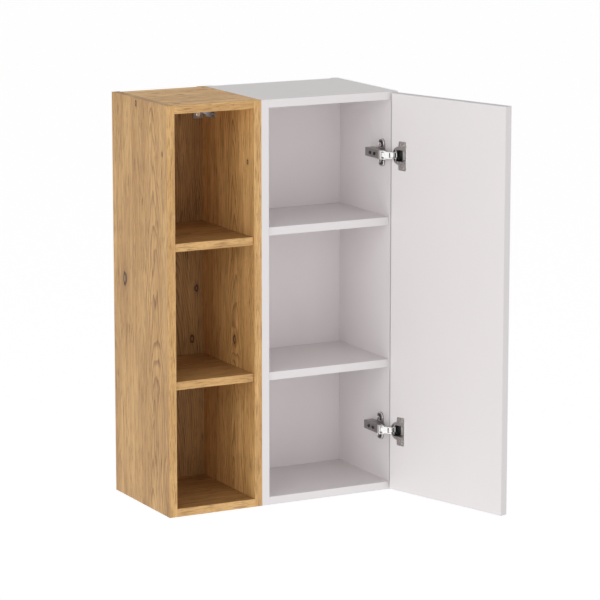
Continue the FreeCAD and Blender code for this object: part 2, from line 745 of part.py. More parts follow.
def arm_hollows():
    """The channel's inside, and the nose that is left without a back so the links can swing."""
    outline = arm_outline()
    low_x, high_x = min(point.x for point in outline), max(point.x for point in outline)
    low_y, high_y = min(point.y for point in outline), max(point.y for point in outline)
    steel, opening = size("arm_steel"), size("nose_open") - size("cabinet_depth")
    channel = rectangle(low_x + steel, high_x + steel, low_y - steel, high_y + steel)
    nose = rectangle(low_x - steel, high_x + steel, low_y - steel, opening)
    return channel, nose


def hinge_arm(word, level):
    """Folded channel over the block, with two ears that hold the link pins."""
    stem = word + "_hinge_arm"
    inside = "(arm_half - arm_steel) * 2"
    channel, nose = arm_hollows()
    body = doc.addObject("PartDesign::Body", stem + "_channel")
    middle_pad(body, stem + "_pad", arm_outline(), "arm_half * 2")
    middle_pocket(body, stem + "_hollow", channel, inside)
    middle_pocket(body, stem + "_nose", nose, inside)
    bind(body, "Placement.Base.z", level)
    pivots = (("outer", PIVOTS["outer_arm"]), ("inner", PIVOTS["inner_arm"]))
    tools = [
        upright("%s_%s_bore" % (stem, key), pivot, minus(level, "arm_half + arm_steel"),
                "link_pin + bore_play / 2", "(arm_half + arm_steel) * 2")
        for key, pivot in pivots
    ]
    screws = []
    reaches = {
        "fixing": "arm_high - plate_thick - block_high / 2",
        "adjusting": "arm_high - plate_thick - block_high - arm_play",
    }
    for key, row in arm_screw_rows().items():
        spot = (minus(RIGHT, "board + arm_high"), row, level)
        name = "%s_%s_screw" % (stem, key)
        tools.append(through(name + "_bore", spot, "+x", "arm_screw + bore_play", "arm_steel"))
        screw = fuse(name + "_body", [
            rod(name + "_shank", spot, "+x", "arm_screw", reaches[key]),
            rod(name + "_head", spot, "-x", "arm_screw_head", "arm_steel"),
        ])
        screws.append(cut(name, screw, cross_slot(name, spot, "-x", "arm_steel", "arm_screw_head")))
    node(stem, cut(stem, body, tools))
    node(stem + "_screws", group(stem + "_screws", screws))
    pins = [
        upright("%s_%s_pin" % (stem, key), pivot, minus(level, "arm_half"), "link_pin", "arm_half * 2")
        for key, pivot in pivots
    ]
    node(stem + "_pins", group(stem + "_pins", pins))


def upright(name, spot, low, radius, length):
    """An upright cylinder at a plan point, from a height formula."""
    cylinder = doc.addObject("Part::Cylinder", name)
    cylinder.Placement.Base = Vector(spot.x, spot.y, 0)
    bind(cylinder, "Radius", radius)
    bind(cylinder, "Height", length)
    bind(cylinder, "Placement.Base.z", low)
    return cylinder


def bar(name, start, end, half, wide, low, length):
    """A straight bar between two plan points; its right edge lies half a link off their line."""
    run = end - start
    angle = math.degrees(math.atan2(run.y, run.x))
    box = doc.addObject("Part::Box", name)
    box.Length = run.Length
    bind(box, "Width", wide)
    bind(box, "Height", length)
    corner = start - turned(Vector(0, size(half), 0), angle)
    box.Placement = Placement(Vector(corner.x, corner.y, 0), Rotation(Vector(0, 0, 1), angle))
    bind(box, "Placement.Base.z", low)
    return box


def arm_screw_rows():
    """Where the fixing screw and the adjusting screw sit along the arm."""
    middle = plus(FRONT, "plate_setback")
    return {"fixing": plus(middle, "block_rear / 2"), "adjusting": minus(middle, "block_front / 2")}


def link_plate(name, path, half_wide, eyes, bores, low, thick):
    """A bent link: bars along its path, a round knee, eyes at its ends and a bore in each eye."""
    pieces = [
        bar("%s_bar_%d" % (name, number), start, end, half_wide, half_wide + " * 2", low, thick)
        for number, (start, end) in enumerate(zip(path, path[1:]))
    ]
    for number, (spot, radius) in enumerate(zip(path, (eyes[0], half_wide, eyes[1]))):
        pieces.append(upright("%s_eye_%d" % (name, number), spot, low, radius, thick))
    tools = [
        upright("%s_bore_%d" % (name, number), spot, minus(low, thick), radius, "(%s) * 3" % thick)
        for number, (spot, radius) in enumerate(zip((path[0], path[-1]), bores))
    ]
    return cut(name, fuse(name + "_body", pieces), tools)


def cup_rim(level):
    """Distance from the door's hinge edge to the cup's hollow, at a height off its centre."""
    hollow = size("cup_radius") - size("cup_wall")
    return CUP_TAB + size("cup_radius") - math.sqrt(hollow ** 2 - level ** 2)


def link_paths():
    """Both links pass round the rim of the cup before they turn to their cup pivot."""
    corner = SWING.multVec(door_corner())
    along = turned(Vector(-1, 0, 0), OPEN_TURN)
    outward = turned(along, -90)
    outer_rim = cup_rim(size("outer_level") + size("outer_thick"))
    inner_rim = cup_rim(size("inner_level"))
    outer_knee = corner + along * (outer_rim + size("outer_knee_past")) + outward * size("outer_knee_out")
    inner_knee = corner + along * (inner_rim + size("inner_knee_past")) + outward * size("inner_knee_out")
    return {
        "outer": [PIVOTS["outer_arm"], outer_knee, PIVOTS["outer_eye"]],
        "inner": [PIVOTS["inner_arm"], inner_knee, PIVOTS["inner_cup"]],
    }


def hinge_links(word, level):
    """The outer link is a channel: two plates and the web that joins them. The inner link is solid."""
    paths = link_paths()
    run, play = "link_pin + pin_run", "stub_pin + open_pin_play"
    stem = word + "_hinge_outer_link"
    pieces = [
        link_plate("%s_%s" % (stem, key), paths["outer"], "outer_half_wide",
                   ("outer_arm_eye", "stub_pin + open_pin_play + eye_wall"), (run, play), low, "outer_thick")
        for key, low in (("high", plus(level, "outer_level")),
                         ("low", minus(level, "outer_level + outer_thick")))
    ]
    start, knee = paths["outer"][0], paths["outer"][1]
    heading = (knee - start).normalize()
    pieces.append(bar(stem + "_web", start + heading * size("web_start"), start + heading * size("web_end"),
                      "outer_half_wide", "web_thick", minus(level, "outer_level"), "outer_level * 2"))
    node(word + "_hinge_outer_link", fuse(stem, pieces))
    inner = link_plate(word + "_hinge_inner_link", paths["inner"], "inner_half_wide",
                       ("inner_arm_eye", "inner_cup_eye"), (run, run),
                       minus(level, "inner_level"), "inner_level * 2")
    node(word + "_hinge_inner_link", inner)


def hinge_cup(word, level):
    """Pressed cup with its flange and ears, drawn closed and swung with the door."""
    stem = word + "_hinge_cup"
    outside = plus(DOOR_INNER, "cup_flange")
    ears = block(stem + "_ears", (minus(EAR_LINE, "cup_ear_wide / 2"), plus(EAR_LINE, "cup_ear_wide / 2")),
                 (DOOR_INNER, outside), (minus(level, "cup_ear_tall / 2"), plus(level, "cup_ear_tall / 2")))
    ears = rounded(stem + "_ears_round", ears, size("cup_ear_round"), axis="y")
    body = fuse(stem + "_body", [
        rod(stem + "_drum", (CUP_LINE, DOOR_INNER, level), "-y", "cup_radius", "cup_deep"),
        rod(stem + "_lip", (CUP_LINE, DOOR_INNER, level), "+y", "cup_lip", "cup_flange"),
        ears,
    ])
    tools = [rod(stem + "_hollow", (CUP_LINE, plus(outside, "cup_flange"), level), "-y",
                 "cup_radius - cup_wall", "cup_deep - cup_wall + cup_flange * 2")]
    for sign in (-1, 1):
        spot = (EAR_LINE, DOOR_INNER, plus(level, "cup_screw_pitch / 2 * %d" % sign))
        tools.append(through("%s_hole_%d" % (stem, sign), spot, "+y",
                             "hinge_screw + bore_play", "cup_flange"))
    for key, (spot, reach, radius) in cup_pin_spots().items():
        low = minus(level, reach)
        tools.append(upright("%s_%s_bore" % (stem, key), spot, low, radius, plus(reach, reach)))
    node(word + "_hinge_cup", cut(stem, body, tools), SWING)
    screws = []
    for sign in (-1, 1):
        key = "%s_screw_%d" % (stem, sign)
        top = (EAR_LINE, outside, plus(level, "cup_screw_pitch / 2 * %d" % sign))
        screw = fuse(key + "_body", [
            rod(key + "_shank", top, "-y", "hinge_screw", "cup_screw_long + cup_flange"),
            rod(key + "_head", top, "+y", "hinge_screw_head", "hinge_screw"),
        ])
        screws.append(cut(key, screw, cross_slot(key, top, "+y", "hinge_screw", "hinge_screw_head")))
    node(word + "_hinge_cup_screws", group(word + "_hinge_cup_screws", screws), SWING)


def cup_pin_spots():
    """The cup pivots with the door closed: plan point, half the pin's length and its radius."""
    centre = door_corner().x - CUP_TAB - size("cup_radius")
    spots = {}
    for key in ("inner_cup", "outer_cup"):
        closed = SWING.inverse().multVec(PIVOTS[key])
        edge = abs(closed.x - centre) + size("link_pin")
        reach = math.sqrt((size("cup_radius") - size("cup_wall") / 2) ** 2 - edge ** 2)
        spots[key] = (closed, "%.5f" % reach, "link_pin" if key == "inner_cup" else "stub_pin")
    return spots


def cup_pins(word, level):
    """One pin runs across the cup; the outer plates turn on two stubs beside the inner link."""
    stem = word + "_hinge_cup_pins"
    spots = cup_pin_spots()
    inner, reach, radius = spots["inner_cup"]
    pieces = [upright(stem + "_inner", inner, minus(level, reach), radius, plus(reach, reach))]
    outer, reach, radius = spots["outer_cup"]
    stub = minus(reach, "outer_level - pin_run")
    for key, low in (("high", plus(level, "outer_level - pin_run")), ("low", minus(level, reach))):
        pieces.append(upright("%s_%s" % (stem, key), outer, low, radius, stub))
    node(stem, group(stem, pieces), SWING)


# ---------------------------------------------------------------- assembly


def build():
    for kind in MODULES:
        side_board(kind, -1)
        side_board(kind, 1)
        level_board(kind, "top")
        level_board(kind, "bottom")
        for word in MODULES[kind]["shelves"]:
            shelf_board(kind, word)
        back_sheet(kind)
        front_bands(kind)
        knock_down_fittings(kind)
        shelf_pins(kind)
        hanger_brackets(kind)
    joining_screws()
    door_panel()
    door_bands()
    for word, level in HINGE_LEVELS.items():
        mounting_plate(word, level)
        hinge_arm(word, level)
        hinge_links(word, level)
        hinge_cup(word, level)
        cup_pins(word, level)


def check_and_write():
    """Every object has to be sound before any file is written."""
    doc.recompute()
    for thing in doc.Objects:
        bad = [state for state in thing.State if state in ("Invalid", "Error")]
        if bad:
            raise RuntimeError("%s is %s" % (thing.Label, ", ".join(bad)))
    for thing in NODES:
        if thing.Shape.isNull() or not thing.Shape.isValid() or not thing.Shape.Solids:
            raise RuntimeError("%s has no sound shape" % thing.Label)
    os.makedirs("parts", exist_ok=True)
    for thing in NODES:
        thing.Shape.exportStep("parts/%s.step" % thing.Label)
    print("%d nodes, pole of the door at (%.3f, %.3f)" % (len(NODES), POLE.x, POLE.y))
    for key, point in PIVOTS.items():
        print("%s (%.3f, %.3f)" % (key, point.x, point.y))


build()
check_and_write()
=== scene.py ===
"""Looks of a hanging wall cabinet: an open oak column beside a white module with one door.

Metres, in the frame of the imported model: X to the right, Y into the wall, Z up.
New pieces are surfaces of two parameters, worked out with numpy.
"""
import math
from typing import NamedTuple

import bmesh
import bpy
import numpy as np
from bpy.props import FloatProperty, FloatVectorProperty, PointerProperty
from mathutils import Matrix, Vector


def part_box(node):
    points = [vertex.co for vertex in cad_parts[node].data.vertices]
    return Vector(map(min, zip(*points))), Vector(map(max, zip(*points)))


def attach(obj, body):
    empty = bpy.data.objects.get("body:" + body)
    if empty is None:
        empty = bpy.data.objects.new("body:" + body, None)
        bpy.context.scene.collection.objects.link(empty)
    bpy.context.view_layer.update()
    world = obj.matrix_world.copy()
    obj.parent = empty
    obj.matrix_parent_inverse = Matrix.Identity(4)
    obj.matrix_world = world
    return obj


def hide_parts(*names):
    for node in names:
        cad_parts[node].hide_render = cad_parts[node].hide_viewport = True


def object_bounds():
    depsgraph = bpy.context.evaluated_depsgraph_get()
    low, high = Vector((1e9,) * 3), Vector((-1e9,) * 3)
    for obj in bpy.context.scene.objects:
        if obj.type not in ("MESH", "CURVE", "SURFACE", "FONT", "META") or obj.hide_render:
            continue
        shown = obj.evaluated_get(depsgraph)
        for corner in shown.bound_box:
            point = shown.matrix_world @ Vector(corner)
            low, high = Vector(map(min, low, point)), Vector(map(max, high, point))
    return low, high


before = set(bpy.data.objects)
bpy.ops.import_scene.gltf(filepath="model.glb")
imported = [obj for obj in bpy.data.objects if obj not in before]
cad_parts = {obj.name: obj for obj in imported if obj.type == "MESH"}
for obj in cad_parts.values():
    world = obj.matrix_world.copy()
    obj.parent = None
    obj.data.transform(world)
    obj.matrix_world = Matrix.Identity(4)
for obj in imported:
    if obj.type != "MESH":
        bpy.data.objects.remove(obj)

bl_info = {
    "name": "Hanging wall cabinet",
    "version": (1, 0, 0),
    "blender": (4, 5, 0),
    "location": "View3D > Sidebar > Cabinet",
    "description": "Finishes, hinges, brackets and studio of a two-module wall cabinet",
    "category": "Object",
}

PACKED_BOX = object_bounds()
LEVELS = ("upper", "lower")
MODULES = ("oak", "white")

# Noise fields: features per metre in each direction, then detail and roughness.
# On oak boards the directions are across the grain, along it and through the board.
OAK_DRIFT = ((9, 1.6, 9), 2.0, 0.55)
OAK_WANDER = ((14, 4.5, 14), 2.0, 0.55)
OAK_PATCH = ((18, 2.6, 18), 3.0, 0.55)
OAK_WOBBLE = ((45, 7, 45), 3.0, 0.55)
OAK_CLUSTER = ((60, 11, 60), 2.0, 0.55)
OAK_STREAK = ((150, 5, 150), 3.0, 0.6)
OAK_FIBRE = ((480, 20, 480), 4.0, 0.62)
OAK_PORE_ALONG, OAK_PORE_THROUGH = 30, 700
BAND_PATCH = ((70, 7, 70), 3.0, 0.55)
BAND_FIBRE = ((520, 26, 520), 4.0, 0.62)
BAND_PORES = ((900, 60, 900), 2.0, 0.55)
WHITE_CLOUD = ((3.5, 3.5, 2.2), 3.0, 0.55)
WHITE_SCUFF = ((60, 60, 8), 4.0, 0.6)
BEECH_RAYS = ((120, 900, 900), 3.0, 0.55)

# Noise without a direction: features per metre, then detail.
STIPPLE_DETAIL = 2.0
METAL_PATCH = (160.0, 3.0)
SHADOW_GRAIN = (2200.0, 2.0)
SHADOW_DUST = (320.0, 4.0)
FLOOR_SPECK = (40.0, 3.0)

# Rolling marks of the plated steel: features per metre along them.
METAL_RUN = 60

# Smooth steps of a field: where they start and end, and the weights there when not 0 and 1.
RING_RISE = (0.50, 0.90)
RING_FALL = (1.0, 0.94)
RING_FADE = (0.28, 0.60, 0.45, 1.0)
PORE_CUT = (0.54, 0.62)
PORE_CLUSTER = (0.38, 0.64, 0.15, 0.85)
OAK_BLEND = (0.30, 0.70)
DARK_STREAK = (0.40, 0.72, 0.0, 0.45)
PALE_STREAK = (0.46, 0.28, 0.0, 0.45)
DARK_FIBRE = (0.44, 0.74, 0.0, 0.40)
OAK_ROUGH = (0.3, 0.8, 0.46, 0.58)
BAND_DARK = (0.46, 0.66, 0.0, 0.72)
BAND_PORE_CUT = (0.60, 0.72)
BAND_ROUGH = (0.3, 0.8, 0.44, 0.58)
CLOUD_TONE = (0.25, 0.75, 0.0, 0.35)
SCUFF_TONE = (0.70, 0.86, 0.0, 0.12)
CLOUD_ROUGH = (0.2, 0.8, 0.40, 0.50)
SCUFF_ROUGH = (0.5, 0.8, 0.0, 0.06)
DULL_TONE = (0.52, 0.80, 0.0, 0.65)
DULL_ROUGH = (0.5, 0.8, 0.0, 0.12)
MARKS_SPAN = (0.3, 0.7)
DUST_TONE = (0.55, 0.8, 0.0, 0.5)
DUST_ROUGH = (0.3, 0.8, 0.32, 0.5)
RAYS_TONE = (0.4, 0.7)
SPECK_TONE = (0.3, 0.7)

# Strength and depth in metres of each finish's relief.
OAK_RELIEF = (0.35, 0.00025)
BAND_RELIEF = (0.3, 0.0002)
WHITE_RELIEF = (0.12, 0.00008)
METAL_RELIEF = (0.15, 0.00005)
SHADOW_RELIEF = (0.2, 0.00005)
BEECH_RELIEF = (0.3, 0.0001)

# Ring lines: how steeply arches open, climb along the board, bend and lose their sharp tips.
ARCH_LEAN = 5.0
ARCH_RISE = 0.085
ARCH_SWAY = 0.075
ARCH_WANDER = 0.022
TIP_SQUARE = 0.00012
TIP_SHARE = 0.50
RING_WOBBLE = 1.5
THROUGH_SHARE = 0.25

# Knots: the share that distances along the grain shrink to, then sizes as shares of the
# knot's radius, and weights of its tones.
KNOT_LENGTH = 0.55
KNOT_REACH = 5
KNOT_PUSH = 1.6
KNOT_RAGGED = 1.6
HALO_OUTER, HALO_INNER, HALO_WEIGHT = 2.4, 0.8, 0.42
KNOT_OUTER, KNOT_FULL = 1.15, 0.90
KNOT_EYE, KNOT_EYE_END, KNOT_EYE_WEIGHT = 0.45, 0.75, 0.20
KNOT_DARKER = 0.5

# Weights of lines, pores and fibres in the tone, the gloss and the relief.
LINE_TONE, PORE_TONE, BAND_PORE_TONE = 0.72, 0.80, 0.62
PORE_ROUGH = 0.16
FIBRE_HEIGHT, LINE_DEPTH, BAND_FIBRE_HEIGHT = 0.3, 0.2, 0.4
# Powers of the painted light and shade on green and blue: a board painted darker is also warmer.
PAINTED_LIGHT_GREEN, PAINTED_LIGHT_BLUE = 1.12, 1.25
DULLED = 0.62
SMOOTHER, ROUGHER = 0.8, 1.35
SCREW_GLINT = 1.15
MARKS_DETAIL, MARKS_ROUGHNESS = 3.0, 0.6

# Fixed tones.
WHITE_LIGHT = (1, 1, 1, 1)
# Near-black painted shadow inside the hinge cup, and its slightly lighter dusty tone.
SHADOW_BLACK, SHADOW_DUSTY = (0.006, 0.006, 0.007, 1), (0.03, 0.03, 0.032, 1)
BEECH_PALE, BEECH_DARK = (0.55, 0.36, 0.20, 1), (0.38, 0.22, 0.11, 1)
FLOOR_PALE, FLOOR_GREY = (0.93, 0.93, 0.93, 1), (0.90, 0.90, 0.90, 1)
BEECH_ROUGH, FLOOR_ROUGH = 0.6, 0.8

# Hinge details: the line on Y where the arm's polished nose starts, and the edge of the painted
# shadow in the cup.
NOSE_LINE = -0.2425
SHADOW_EDGE = 0.0015

# Fineness of the new surfaces.
CUP_RAYS, HALVINGS, BEND_STEPS = 288, 40, 5
SHADE_RING_SEGMENTS, RIM_SEGMENTS, CORNER_STEPS = 48, 14, 16
# Heights of the dark ring of painted shade round a plate screw, as shares of the rim.
SHADE_RING_WALL, SHADE_RING_CREST = 0.35, 0.7
WING_ROUND = 0.98
MERGE_DISTANCE, SLIVER = 1e-6, 1e-7

FLOOR_HALF = 30.0
ROOM_LIGHT = 0.62
LAMP_SIZE = 2.4
LAMP_AIM = (0.0, -0.1, -0.35)


class OakBoard(NamedTuple):
    """Grain of one oak board.

    along and across name its axes. heart is the line across the board where the arches
    peak. The fifth value is painted light and shade: below 1 it darkens the back, bottom and
    shelves as shade deep in the column, above 1 it lightens the lit top and right side. shift
    moves the grain along, and knots lists (along, across, radius).
    """
    node: str
    along: str
    across: str
    heart: float
    painted_light: float
    shift: float
    knots: tuple = ()


class Lamp(NamedTuple):
    """A square softbox with its place, power in watts and tone."""
    name: str
    place: tuple
    power: float
    tone: tuple


# Each board's fifth value is painted light and shade, not a tone of the wood.
OAK_BOARDS = (
    OakBoard("oak_left_side", "z", "y", -0.190, 1.0, 0.0,
             ((-0.317, -0.053, 0.0085), (0.035, -0.112, 0.0036), (-0.049, -0.228, 0.0028))),
    OakBoard("oak_right_side", "z", "y", -0.160, 1.34, 0.7,
             ((-0.436, -0.163, 0.006), (-0.077, -0.2225, 0.003))),
    OakBoard("oak_back_panel", "z", "x", -0.160, 0.80, 0.35,
             ((-0.356, -0.0815, 0.004), (-0.458, -0.0916, 0.004))),
    OakBoard("oak_top", "x", "y", -0.100, 1.42, 0.2, ((-0.215, -0.222, 0.0035),)),
    OakBoard("oak_bottom", "x", "y", -0.140, 0.76, 1.2),
    OakBoard("oak_upper_shelf", "x", "y", -0.160, 0.76, 2.2),
    OakBoard("oak_lower_shelf", "x", "y", -0.110, 0.80, 3.1),
)

# White finishes: the painted light and shade over the face tone, and the nodes that take it.
# The shelves and bottom, the front edges and the door's edges are painted darker as shade,
# and the back is painted lighter as light.
WHITE_BOARDS = {
    "white_board": ((1.0, 1.0, 1.0), ("white_left_side", "white_right_side", "white_top")),
    "white_shelf_painted_shade": ((0.88, 0.87, 0.87),
                    ("white_bottom", "white_upper_shelf", "white_lower_shelf")),
    "white_back": ((1.05, 1.03, 1.04), ("white_back_panel",)),
    "white_band_painted_shade": ((0.90, 0.90, 0.905), ("white_front_edges",)),
    "white_door": ((1.0, 1.0, 1.01), ("door_panel",)),
    "door_band_painted_shade": ((0.79, 0.79, 0.795), ("door_edge_bands",)),
}

LAMPS = (
    Lamp("key", (-3.4, -2.6, 0.9), 34, (1.0, 0.995, 0.985)),
    Lamp("front", (1.4, -4.2, 1.4), 16, (1.0, 1.0, 1.0)),
)


# ---------------------------------------------------------------- adjustable values


def colour(name, description, default):
    return FloatVectorProperty(name=name, description=description, default=default,
                               subtype="COLOR", size=3, min=0, max=1)


def length(name, description, default):
    return FloatProperty(name=name, description=description, default=default,
                         unit="LENGTH", subtype="DISTANCE")


class OakFinish(bpy.types.PropertyGroup):
    """Oak-look melamine of the open column."""
    pale: colour("Early wood", "Palest tone between the rings", (0.735, 0.448, 0.176))
    middle: colour("Body", "Middle tone of the board", (0.575, 0.328, 0.116))
    late: colour("Late wood", "Tone of the ring lines", (0.300, 0.140, 0.046))
    knot: colour("Knot", "Tone of knots and deep pores", (0.100, 0.045, 0.018))
    ring_width: length("Ring width", "Spacing of the ring lines in the arch field", 0.0050)
    pore_width: length("Pore width", "Width of the fine pore lines", 0.0012)


class WhiteFinish(bpy.types.PropertyGroup):
    """Warm white melamine of the door module."""
    face: colour("Face", "Tone of the flat faces", (0.856, 0.818, 0.820))
    edge: colour("Edge", "Tone of the worn corners", (0.795, 0.765, 0.762))
    grain_size: length("Texture", "Size of the fine surface texture", 0.0009)


class MetalFinish(bpy.types.PropertyGroup):
    """Plated steel of the hinges and brackets."""
    nickel: colour("Nickel", "Tone of the hinge plate", (0.60, 0.585, 0.575))
    plate: colour("Plate", "Tone of the mounting plates and arms", (0.36, 0.345, 0.34))
    # The polished tone also paints a highlight on the hinge cups' outer rims.
    polish: colour("Polish", "Tone of the polished links and noses", (0.93, 0.92, 0.91))
    # The dark tone also paints the shade round the plate screws.
    dark: colour("Dark screws", "Tone of the blackened screws", (0.10, 0.10, 0.105))
    zinc: colour("Zinc", "Tone of the bracket plate", (0.56, 0.57, 0.60))
    brush: length("Brush marks", "Spacing of the rolling marks", 0.0006)


class HingeSizes(bpy.types.PropertyGroup):
    """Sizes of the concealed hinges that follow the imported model."""
    cup_tab: length("Tab", "Door edge to cup bore", 0.003)
    cup_radius: length("Cup radius", "Outer radius of the cup", 0.0175)
    cup_depth: length("Cup depth", "Depth of the cup in the door", 0.013)
    lip_radius: length("Lip radius", "Outer radius of the cup's flange", 0.0185)
    ear_offset: length("Ear offset", "Screw line behind the cup centre", 0.0095)
    ear_width: length("Ear width", "Width of the screw ears", 0.021)
    ear_height: length("Ear height", "Height over both ears", 0.058)
    ear_corner: length("Ear corner", "Corner radius of the ears", 0.003)
    flange: length("Flange", "Thickness of the flange", 0.0012)
    cup_wall: length("Cup wall", "Thickness of the cup's wall", 0.0007)
    mouth_half: length("Mouth", "Half the height of the cup's mouth", 0.0112)
    mouth_corner: length("Mouth corner", "Corner radius of the cup's mouth", 0.003)
    rim_soft: length("Soft rim", "Radius of the flange's pressed rims", 0.0007)
    # The black inside of the cup, behind the pins, is painted shadow; the step sets where it ends
    # and the drop how far below the face it starts.
    shadow_step: length("Liner step", "End of the black moulding, past the cup's middle", 0.0025)
    floor_bend: length("Floor bend", "Radius between floor and wall of the cup", 0.003)
    shadow_drop: length("Liner drop", "How far the liner starts below the face", 0.0004)
    plate_thick: length("Plate", "Thickness of the mounting plate", 0.003)
    wing_wide: length("Wing", "Width of the plate's wings", 0.022)
    # Radii of the dark ring round a plate screw: painted shade of its recess.
    painted_shade_inner: length("Seat inner", "Inner radius of the dark seat round a plate screw", 0.0048)
    painted_shade_outer: length("Seat outer", "Outer radius of the dark seat", 0.0078)
    screw_pitch: length("Screw pitch", "Spacing of the plate's screws", 0.032)
    rim: length("Rim", "Radius of the plate's raised rim", 0.0010)
    board: length("Board", "Thickness of side and door", 0.016)
    door_turn: FloatProperty(name="Door turn",
                             description="Turn of the door from closed to rest",
                             default=math.radians(107), subtype="ANGLE", unit="ROTATION")


class StudioSettings(bpy.types.PropertyGroup):
    """Camera and light."""
    camera: FloatVectorProperty(name="Camera", description="Place of the camera", size=3,
                                default=(-2.7176, -5.4692, 0.7914), unit="LENGTH", subtype="XYZ")
    heading: FloatProperty(name="Heading",
                           description="Camera's turn to the right of straight ahead",
                           default=math.radians(27.794), subtype="ANGLE", unit="ROTATION")
    tilt: FloatProperty(name="Tilt", description="Camera's tilt below level",
                        default=math.radians(10.965), subtype="ANGLE", unit="ROTATION")
    lens: FloatProperty(name="Lens", description="Focal length in millimetres", default=185.2)
    floor_drop: length("Floor drop", "Floor below the cabinet", 1.2)
    floor_glow: FloatProperty(name="Floor glow",
                              description="Light of its own that keeps the floor pale",
                              default=0.42)


GROUPS = {
    "cabinet_oak": OakFinish,
    "cabinet_white": WhiteFinish,
    "cabinet_metal": MetalFinish,
    "cabinet_hinge": HingeSizes,
    "cabinet_studio": StudioSettings,
}


# ---------------------------------------------------------------- finishes


class Net:
    """The node net of one finish, with short calls for the nodes that finishes share."""

    def __init__(self, name):
        self.material = bpy.data.materials.new(name)
        self.material.use_nodes = True
        self.tree = self.material.node_tree
        self.tree.nodes.clear()
        self.shader = self.tree.nodes.new("ShaderNodeBsdfPrincipled")
        output = self.tree.nodes.new("ShaderNodeOutputMaterial")
        self.tree.links.new(self.shader.outputs["BSDF"], output.inputs["Surface"])
        self.place = self.tree.nodes.new("ShaderNodeTexCoord").outputs["Object"]

    def fill(self, socket, value):
        """A socket takes either a link or a constant."""
        if isinstance(value, bpy.types.NodeSocket):
            self.tree.links.new(value, socket)
        else:
            socket.default_value = value

    def node(self, kind, values=None, **settings):
        made = self.tree.nodes.new(kind)
        for key, value in settings.items():
            setattr(made, key, value)
        for key, value in (values or {}).items():
            self.fill(made.inputs[key], value)
        return made

    def math(self, operation, first, second=0.0):
        made = self.node("ShaderNodeMath", {0: first, 1: second}, operation=operation)
        return made.outputs[0]

    def noise(self, vector, scale, detail, roughness=0.55):
        made = self.node("ShaderNodeTexNoise", {"Vector": vector, "Scale": scale,
                                                "Detail": detail, "Roughness": roughness})
        return made.outputs["Fac"]

    def grain(self, vector, field):
        """Noise stretched in each direction, from a field's scale, detail and roughness."""
        scale, detail, roughness = field
        made = self.node("ShaderNodeMapping", {"Vector": vector, "Scale": scale})
        return self.noise(made.outputs["Vector"], 1.0, detail, roughness)

    def steps(self, value, low, high, start=0.0, end=1.0):
        """Smooth step of a value between low and high."""
        made = self.node("ShaderNodeMapRange", {"Value": value, "From Min": low, "From Max": high,
                                                "To Min": start, "To Max": end},
                         interpolation_type="SMOOTHSTEP")
        return made.outputs["Result"]

    def mix(self, factor, first, second, blend="MIX"):
        made = self.node("ShaderNodeMix", {"Factor": factor},
                         data_type="RGBA", blend_type=blend)
        self.fill(made.inputs[6], first)
        self.fill(made.inputs[7], second)
        return made.outputs[2]

    def axes(self, vector):
        made = self.node("ShaderNodeSeparateXYZ", {"Vector": vector})
        return [made.outputs[key] for key in "XYZ"]

    def vector(self, x, y, z):
        made = self.node("ShaderNodeCombineXYZ", {"X": x, "Y": y, "Z": z})
        return made.outputs["Vector"]

    def bump(self, height, strength, distance):
        made = self.node("ShaderNodeBump", {"Height": height, "Strength": strength,
                                            "Distance": distance})
        return made.outputs["Normal"]

    def finish(self, **values):
        """Sets the shader's sockets and gives the material."""
        for key, value in values.items():
            self.fill(self.shader.inputs[key.replace("_", " ")], value)
        return self.material


def rgb(tone):
    return (tone[0], tone[1], tone[2], 1)


def knot_distance(net, run, side, spot_run, spot_side):
    """Distance to a knot, which is longer along the grain than across it."""
    far_run = net.math("MULTIPLY", net.math("SUBTRACT", run, spot_run), KNOT_LENGTH)
    far_side = net.math("SUBTRACT", side, spot_side)
    square = net.math("ADD", net.math("MULTIPLY", far_run, far_run),
                      net.math("MULTIPLY", far_side, far_side))
    return net.math("SQRT", square)


def ring_lines(net, grain, run, side, heart, swirl):
    """Weight of the ring lines: the rising edges of a field's levels.

    With d the bent distance from the heart line, the field is lean d^2 + rise run
    + share sqrt(d^2 + tip), then moved by noise and pushed aside by each knot.
    """
    drift = net.math("SUBTRACT", net.grain(grain, OAK_DRIFT), 0.5)
    off = net.math("ADD", net.math("SUBTRACT", side, heart),
                   net.math("MULTIPLY", drift, ARCH_SWAY))
    square = net.math("MULTIPLY", off, off)
    field = net.math("ADD", net.math("MULTIPLY", square, ARCH_LEAN),
                     net.math("MULTIPLY", run, ARCH_RISE))
    blunt = net.math("SQRT", net.math("ADD", square, TIP_SQUARE))
    field = net.math("ADD", field, net.math("MULTIPLY", blunt, TIP_SHARE))
    wander = net.grain(grain, OAK_WANDER)
    field = net.math("ADD", field, net.math("MULTIPLY", wander, ARCH_WANDER))
    for distance, radius in swirl:
        push = net.steps(distance, 0.0, radius * KNOT_REACH, radius * KNOT_PUSH, 0.0)
        field = net.math("ADD", field, push)
    rings = net.math("DIVIDE", field, bpy.context.scene.cabinet_oak.ring_width)
    wobble = net.grain(grain, OAK_WOBBLE)
    saw = net.math("FRACT", net.math("ADD", rings, net.math("MULTIPLY", wobble, RING_WOBBLE)))
    return net.math("MULTIPLY", net.steps(saw, *RING_RISE), net.steps(saw, *RING_FALL))


def knot_tone(net, tone, streak, distance, radius):
    """Lays a soft halo and a dark ragged ring round a knot over a tone."""
    values = bpy.context.scene.cabinet_oak
    ragged = net.math("MULTIPLY", net.math("SUBTRACT", streak, 0.5), radius * KNOT_RAGGED)
    ragged = net.math("ADD", distance, ragged)
    halo = net.steps(ragged, radius * HALO_OUTER, radius * HALO_INNER, 0.0, HALO_WEIGHT)
    tone = net.mix(halo, tone, rgb(values.late))
    rim = net.math("MULTIPLY",
                   net.steps(ragged, radius * KNOT_OUTER, radius * KNOT_FULL),
                   net.steps(ragged, radius * KNOT_EYE, radius * KNOT_EYE_END,
                             KNOT_EYE_WEIGHT, 1.0))
    return net.mix(rim, tone, rgb([channel * KNOT_DARKER for channel in values.knot]))


